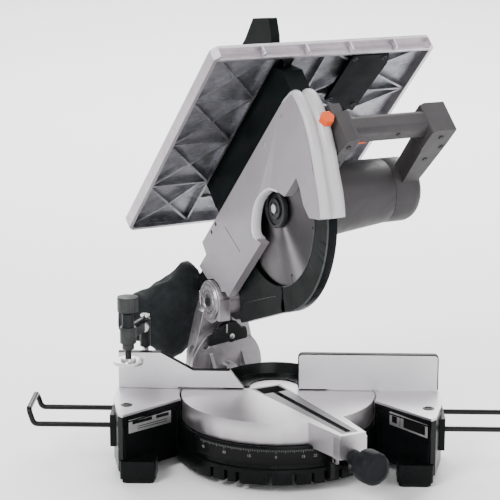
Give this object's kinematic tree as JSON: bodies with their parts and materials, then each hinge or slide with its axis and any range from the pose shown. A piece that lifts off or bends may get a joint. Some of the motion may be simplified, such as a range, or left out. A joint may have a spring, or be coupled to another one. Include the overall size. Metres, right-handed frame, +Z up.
{
  "type": "mitre saw",
  "caption": "Combination mitre saw: a pivoting saw head with a tilting saw table above it, on a turntable base with fences, hold-down clamp, side supports and feet.",
  "frame": {"origin": "on the bench, under the turntable's axis and at the centre of the four bench-bolt holes", "axes": "+Z up, -Y towards the operator, +X to the operator's right"},
  "size_m": [0.7964, 0.6362, 0.709],
  "materials": {
    "base_black": "cast, semi-gloss black paint",
    "machined": "machined satin",
    "insert_grey": "matte",
    "scale_black": "printed white ticks and degree numerals",
    "rubber": "matte",
    "zinc": "zinc plated",
    "chrome": "polished",
    "rod_black": "gloss",
    "clamp_dark": "painted",
    "clamp_plate": "satin",
    "knob_black": "moulded",
    "pointer": "gloss",
    "head_white": "cast, light powder coat",
    "guard_black": "sheet and cast, semi-gloss black paint",
    "motor_grey": "moulded",
    "windings": "lacquered copper over a steel core",
    "blade_steel": "ground",
    "orange": "moulded",
    "bag_cloth": "woven nylon",
    "table_alu": "cast, machined top",
    "slate": "semi-gloss dark paint"
  },
  "bodies": {
    "base": {"base_casting": "base_black", "left_wing_plate": "machined", "right_wing_plate": "machined", "left_fence": "machined", "right_fence": "machined", "fence_bridge": "base_black", "mitre_scale": "scale_black", "rubber_feet": "rubber", "fence_bolts": "zinc", "turntable_bolt": "zinc", "clamp_post": "chrome"},
    "left_rod": {"left_support_rod": "rod_black"},
    "right_rod": {"right_support_rod": "rod_black"},
    "clamp": {"clamp_arm": "clamp_dark"},
    "clamp_spindle": {"clamp_screw": "clamp_dark", "clamp_foot": "clamp_plate"},
    "rotary_table": {"turntable": "machined", "kerf_insert": "insert_grey", "bevel_support": "machined", "mitre_pointer": "pointer"},
    "mitre_knob": {"mitre_lock_knob": "knob_black"},
    "detent": {"detent_lever": "rod_black"},
    "bevel_group": {"pivot_bracket": "machined", "bevel_pin": "zinc", "chop_pin": "zinc", "return_spring": "zinc"},
    "bevel_lever": {"bevel_lock_lever": "knob_black"},
    "head": {"arm_casting": "head_white", "nose_cover": "head_white", "rear_blade_guard": "guard_black", "gear_case": "head_white", "motor_housing": "motor_grey", "motor_end_cap": "motor_grey", "stator": "windings", "motor_bearings": "zinc", "arbor_bearings": "zinc", "handle_lower_shell": "motor_grey", "handle_upper_shell": "motor_grey", "handle_screws": "zinc", "trigger_switch": "knob_black", "dust_chute": "knob_black", "dust_bag": "bag_cloth", "riving_knife": "blade_steel"},
    "lower_guard": {"moving_blade_guard": "guard_black"},
    "blade": {"saw_blade": "blade_steel", "arbor": "zinc", "inner_flange": "zinc", "outer_flange": "blade_steel", "blade_bolt": "zinc", "driven_gear": "zinc"},
    "motor_rotor": {"rotor": "zinc"},
    "top_table": {"upper_table": "table_alu", "table_insert": "insert_grey", "blade_shroud": "guard_black", "table_posts": "zinc", "cover_plate": "slate"},
    "table_knob": {"table_lock_knob": "knob_black"},
    "top_guard": {"top_blade_guard": "guard_black"},
    "trigger_key": {"trigger": "orange"},
    "safety_button": {"lock_button": "orange"}
  },
  "joints": [
    {"name": "mitre", "type": "hinge", "parent": "base", "child": "rotary_table", "pos_m": [0, 0, 0.08], "axis": [0, 0, -1], "range_deg": [-15, 75]},
    {"name": "bevel", "type": "hinge", "parent": "rotary_table", "child": "bevel_group", "pos_m": [0, 0, 0.11], "axis": [0.5, -0.866, 0], "range_deg": [0, 45]},
    {"name": "chop", "type": "hinge", "parent": "bevel_group", "child": "head", "pos_m": [-0.0875, 0.15155, 0.226], "axis": [-0.866, -0.5, 0], "range_deg": [-45, 0], "stiffness_Nm_per_rad": 20, "springref_deg": 97.4},
    {"name": "lower_guard_swing", "type": "hinge", "parent": "head", "child": "lower_guard", "pos_m": [0.00053, -0.00093, 0.41338], "axis": [-0.866, -0.5, 0], "range_deg": [0, 78]},
    {"name": "blade_spin", "type": "hinge", "parent": "head", "child": "blade", "pos_m": [0.00053, -0.00093, 0.41338], "axis": [0.866, 0.5, 0], "continuous": true},
    {"name": "rotor_spin", "type": "hinge", "parent": "head", "child": "motor_rotor", "pos_m": [0.01548, -0.02681, 0.43206], "axis": [0.866, 0.5, 0], "continuous": true},
    {"name": "table_height", "type": "slide", "parent": "head", "child": "top_table", "axis": [0.3536, -0.6124, -0.7071], "range_m": [0, 0.047]},
    {"name": "table_knob_turn", "type": "hinge", "parent": "head", "child": "table_knob", "pos_m": [0.08626, -0.00941, 0.52299], "axis": [0.866, 0.5, 0], "range_deg": [0, 180]},
    {"name": "top_guard_lift", "type": "hinge", "parent": "head", "child": "top_guard", "pos_m": [-0.13063, 0.22626, 0.45935], "axis": [-0.866, -0.5, 0], "range_deg": [0, 50]},
    {"name": "trigger_pull", "type": "slide", "parent": "head", "child": "trigger_key", "axis": [0.3536, -0.6124, 0.7071], "range_m": [0, 0.004], "stiffness_N_per_m": 900},
    {"name": "safety_press", "type": "slide", "parent": "head", "child": "safety_button", "axis": [-0.3536, 0.6124, -0.7071], "range_m": [0, 0.004], "stiffness_N_per_m": 700},
    {"name": "bevel_lever_turn", "type": "hinge", "parent": "bevel_group", "child": "bevel_lever", "pos_m": [-0.0875, 0.15155, 0.166], "axis": [0.5, -0.866, 0], "range_deg": [0, 15]},
    {"name": "mitre_knob_turn", "type": "hinge", "parent": "rotary_table", "child": "mitre_knob", "pos_m": [0.13, -0.22517, 0.074], "axis": [0.5, -0.866, 0], "range_deg": [0, 180]},
    {"name": "detent_press", "type": "hinge", "parent": "rotary_table", "child": "detent", "pos_m": [0.1, -0.1732, 0.06], "axis": [-0.866, -0.5, 0], "range_deg": [0, 5], "stiffness_Nm_per_rad": 3, "springref_deg": -5.73},
    {"name": "left_rod_slide", "type": "slide", "parent": "base", "child": "left_rod", "axis": [1, 0, 0], "range_m": [0, 0.045]},
    {"name": "right_rod_slide", "type": "slide", "parent": "base", "child": "right_rod", "axis": [-1, 0, 0], "range_m": [0, 0.045]},
    {"name": "clamp_height", "type": "slide", "parent": "base", "child": "clamp", "axis": [0, 0, 1], "range_m": [-0.032, 0]},
    {"name": "clamp_feed", "type": "slide", "parent": "clamp", "child": "clamp_spindle", "axis": [0, 0, 1], "range_m": [-0.023, 0]}
  ],
  "couplings": [
    {"joint": "lower_guard_swing", "follows": "chop", "ratio": -1.7333},
    {"joint": "rotor_spin", "follows": "blade_spin", "ratio": -4.2222}
  ]
}
